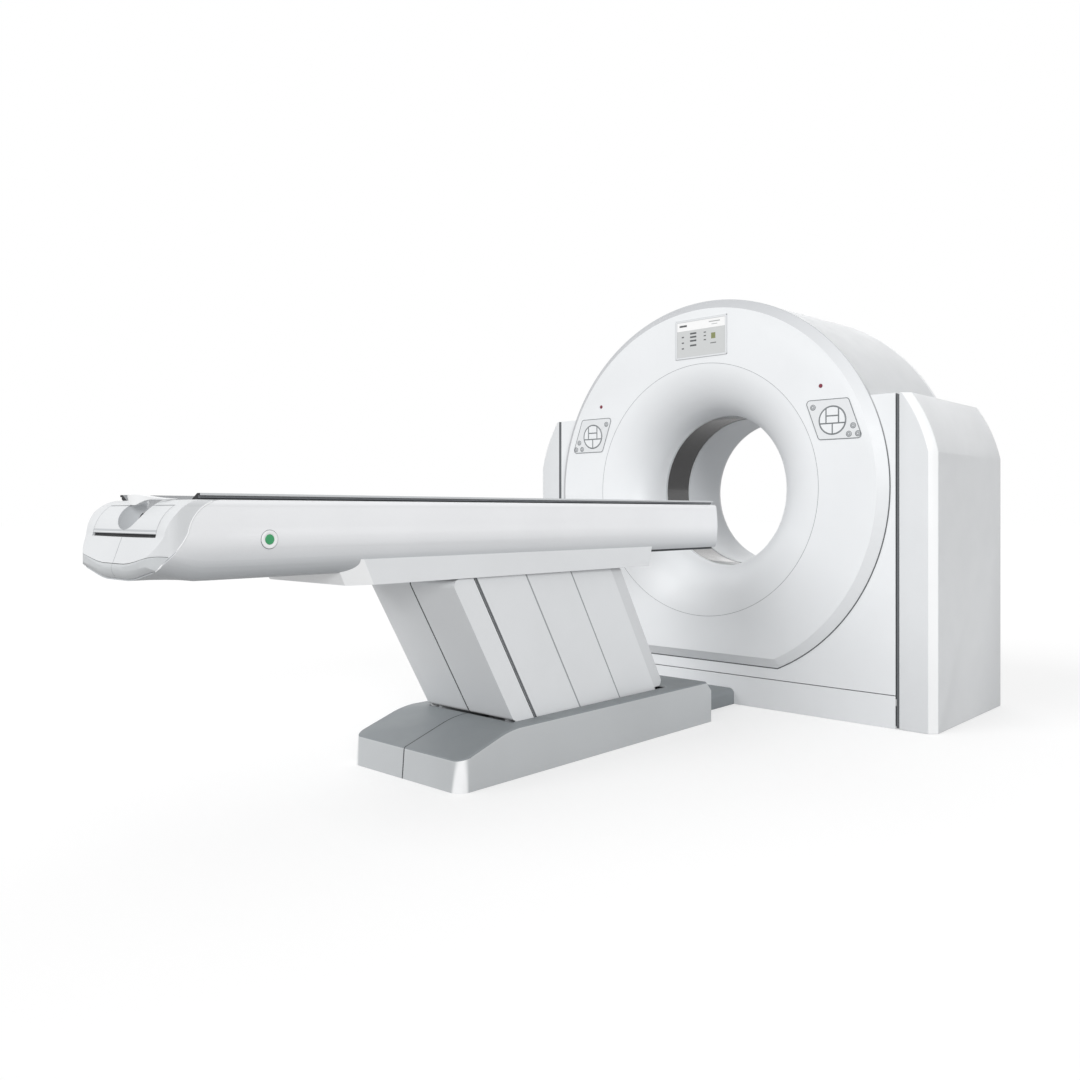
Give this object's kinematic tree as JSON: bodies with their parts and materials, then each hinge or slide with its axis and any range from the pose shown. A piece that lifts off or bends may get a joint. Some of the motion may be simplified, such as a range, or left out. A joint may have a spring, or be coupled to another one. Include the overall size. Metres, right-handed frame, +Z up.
{
  "type": "ct scanner",
  "caption": "Computed-tomography scanner: wide tilting gantry with a round bore between two towers and a long patient table on a leaning, slatted lift pedestal.",
  "frame": {"origin": "on the floor, under the middle of the whole machine's box", "axes": "+X across the machine, +Y along the patient table towards the back of the gantry, +Z up"},
  "size_m": [2.056, 3.46, 1.8216],
  "materials": {
    "casting_grey": "satin",
    "cover_white": "satin",
    "window_dark": "gloss",
    "liner_grey": "satin",
    "display_grey": "gloss",
    "panel_grey": "satin",
    "key_grey": "satin",
    "laser_red": "gloss",
    "rotor_metal": "satin",
    "cradle_dark": "satin",
    "handle_white": "satin",
    "button_green": "gloss"
  },
  "bodies": {
    "base": {"gantry_stand": "casting_grey", "tower_cover_right": "cover_white", "tower_cover_left": "cover_white", "base_cover_front": "cover_white", "base_cover_rear": "cover_white", "tilt_drive": "casting_grey", "plinth_cover_right": "cover_white", "plinth_cover_left": "cover_white", "table_base_frame": "casting_grey", "floor_duct": "cover_white", "lift_gearmotor": "casting_grey"},
    "tilting_body": {"tilt_frame": "casting_grey", "drum_casing": "cover_white", "front_panel": "cover_white", "front_cover": "cover_white", "bore_funnel": "cover_white", "scan_window": "window_dark", "bore_liner": "liner_grey", "rear_cover": "cover_white", "display": "display_grey", "control_panel_right": "panel_grey", "control_panel_left": "panel_grey", "laser_window_right": "laser_red", "laser_window_left": "laser_red"},
    "rotor": {"rotor_ring": "rotor_metal", "xray_tube": "rotor_metal", "detector_array": "rotor_metal", "power_unit": "rotor_metal"},
    "foot_link": {"link_foot": "casting_grey"},
    "head_link": {"link_head": "casting_grey"},
    "foot_cover": {"pedestal_cover_foot_right": "cover_white", "pedestal_cover_foot_left": "cover_white"},
    "head_cover": {"pedestal_cover_head": "cover_white"},
    "carriage": {"carriage_frame": "casting_grey", "carriage_skirt": "cover_white", "table_body": "cover_white", "foot_cap": "cover_white", "foot_hatch": "cover_white", "foot_bumper": "cover_white"},
    "green_button": {"green_button": "button_green"},
    "cradle": {"cradle": "cradle_dark", "pull_handle": "handle_white"},
    "side_slats_1": {"side_slat_1_right": "cover_white", "side_slat_1_left": "cover_white"},
    "side_slats_2": {"side_slat_2_right": "cover_white", "side_slat_2_left": "cover_white"},
    "side_slats_3": {"side_slat_3_right": "cover_white", "side_slat_3_left": "cover_white"},
    "key_outer_right": {"key_outer_right": "key_grey"},
    "key_outer_left": {"key_outer_left": "key_grey"},
    "key_inner_right": {"key_inner_right": "key_grey"},
    "key_inner_left": {"key_inner_left": "key_grey"},
    "key_up_right": {"key_up_right": "key_grey"},
    "key_up_left": {"key_up_left": "key_grey"},
    "key_middle_right": {"key_middle_right": "key_grey"},
    "key_middle_left": {"key_middle_left": "key_grey"},
    "key_down_inner_right": {"key_down_inner_right": "key_grey"},
    "key_down_inner_left": {"key_down_inner_left": "key_grey"},
    "key_down_outer_right": {"key_down_outer_right": "key_grey"},
    "key_down_outer_left": {"key_down_outer_left": "key_grey"}
  },
  "joints": [
    {"name": "gantry_tilt", "type": "hinge", "parent": "base", "child": "tilting_body", "pos_m": [0, 1.232, 0.951], "axis": [1, 0, 0], "range_deg": [-22, 22]},
    {"name": "rotor_spin", "type": "hinge", "parent": "tilting_body", "child": "rotor", "pos_m": [0, 1.232, 0.951], "axis": [0, 1, 0], "continuous": true},
    {"name": "key_outer_right_press", "type": "slide", "parent": "tilting_body", "child": "key_outer_right", "axis": [0, 1, 0], "range_m": [0, 0.002], "stiffness_N_per_m": 400, "springref_m": -0.001},
    {"name": "key_outer_left_press", "type": "slide", "parent": "tilting_body", "child": "key_outer_left", "axis": [0, 1, 0], "range_m": [0, 0.002], "stiffness_N_per_m": 400, "springref_m": -0.001},
    {"name": "key_inner_right_press", "type": "slide", "parent": "tilting_body", "child": "key_inner_right", "axis": [0, 1, 0], "range_m": [0, 0.002], "stiffness_N_per_m": 400, "springref_m": -0.001},
    {"name": "key_inner_left_press", "type": "slide", "parent": "tilting_body", "child": "key_inner_left", "axis": [0, 1, 0], "range_m": [0, 0.002], "stiffness_N_per_m": 400, "springref_m": -0.001},
    {"name": "key_up_right_press", "type": "slide", "parent": "tilting_body", "child": "key_up_right", "axis": [0, 1, 0], "range_m": [0, 0.002], "stiffness_N_per_m": 400, "springref_m": -0.001},
    {"name": "key_up_left_press", "type": "slide", "parent": "tilting_body", "child": "key_up_left", "axis": [0, 1, 0], "range_m": [0, 0.002], "stiffness_N_per_m": 400, "springref_m": -0.001},
    {"name": "key_middle_right_press", "type": "slide", "parent": "tilting_body", "child": "key_middle_right", "axis": [0, 1, 0], "range_m": [0, 0.002], "stiffness_N_per_m": 400, "springref_m": -0.001},
    {"name": "key_middle_left_press", "type": "slide", "parent": "tilting_body", "child": "key_middle_left", "axis": [0, 1, 0], "range_m": [0, 0.002], "stiffness_N_per_m": 400, "springref_m": -0.001},
    {"name": "key_down_inner_right_press", "type": "slide", "parent": "tilting_body", "child": "key_down_inner_right", "axis": [0, 1, 0], "range_m": [0, 0.002], "stiffness_N_per_m": 400, "springref_m": -0.001},
    {"name": "key_down_inner_left_press", "type": "slide", "parent": "tilting_body", "child": "key_down_inner_left", "axis": [0, 1, 0], "range_m": [0, 0.002], "stiffness_N_per_m": 400, "springref_m": -0.001},
    {"name": "key_down_outer_right_press", "type": "slide", "parent": "tilting_body", "child": "key_down_outer_right", "axis": [0, 1, 0], "range_m": [0, 0.002], "stiffness_N_per_m": 400, "springref_m": -0.001},
    {"name": "key_down_outer_left_press", "type": "slide", "parent": "tilting_body", "child": "key_down_outer_left", "axis": [0, 1, 0], "range_m": [0, 0.002], "stiffness_N_per_m": 400, "springref_m": -0.001},
    {"name": "table_lift", "type": "hinge", "parent": "base", "child": "foot_link", "pos_m": [0, -0.3297, 0.187], "axis": [-1, 0, 0], "range_deg": [-43, 0]},
    {"name": "head_link_swing", "type": "hinge", "parent": "base", "child": "head_link", "pos_m": [0, 0.0703, 0.187], "axis": [-1, 0, 0], "range_deg": [-43, 0]},
    {"name": "foot_cover_swing", "type": "hinge", "parent": "base", "child": "foot_cover", "pos_m": [0, -0.50661, 0.187], "axis": [-1, 0, 0], "range_deg": [-43, 0]},
    {"name": "head_cover_swing", "type": "hinge", "parent": "base", "child": "head_cover", "pos_m": [0, 0.3122, 0.187], "axis": [-1, 0, 0], "range_deg": [-43, 0]},
    {"name": "side_slats_1_swing", "type": "hinge", "parent": "base", "child": "side_slats_1", "pos_m": [0, -0.37107, 0.187], "axis": [-1, 0, 0], "range_deg": [-43, 0]},
    {"name": "side_slats_2_swing", "type": "hinge", "parent": "base", "child": "side_slats_2", "pos_m": [0, -0.06671, 0.187], "axis": [-1, 0, 0], "range_deg": [-43, 0]},
    {"name": "side_slats_3_swing", "type": "hinge", "parent": "base", "child": "side_slats_3", "pos_m": [0, 0.23766, 0.187], "axis": [-1, 0, 0], "range_deg": [-43, 0]},
    {"name": "carriage_level", "type": "hinge", "parent": "foot_link", "child": "carriage", "pos_m": [0, -0.58143, 0.623], "axis": [-1, 0, 0], "range_deg": [0, 43]},
    {"name": "cradle_slide", "type": "slide", "parent": "carriage", "child": "cradle", "axis": [0, 1, 0], "range_m": [0, 1.5]},
    {"name": "green_button_press", "type": "slide", "parent": "carriage", "child": "green_button", "axis": [-1, 0, 0], "range_m": [0, 0.003], "stiffness_N_per_m": 500, "springref_m": -0.001}
  ],
  "couplings": [
    {"joint": "head_link_swing", "follows": "table_lift", "ratio": 1},
    {"joint": "foot_cover_swing", "follows": "table_lift", "ratio": 1},
    {"joint": "head_cover_swing", "follows": "table_lift", "ratio": 1},
    {"joint": "side_slats_1_swing", "follows": "table_lift", "ratio": 1},
    {"joint": "side_slats_2_swing", "follows": "table_lift", "ratio": 1},
    {"joint": "side_slats_3_swing", "follows": "table_lift", "ratio": 1},
    {"joint": "carriage_level", "follows": "table_lift", "ratio": -1}
  ]
}
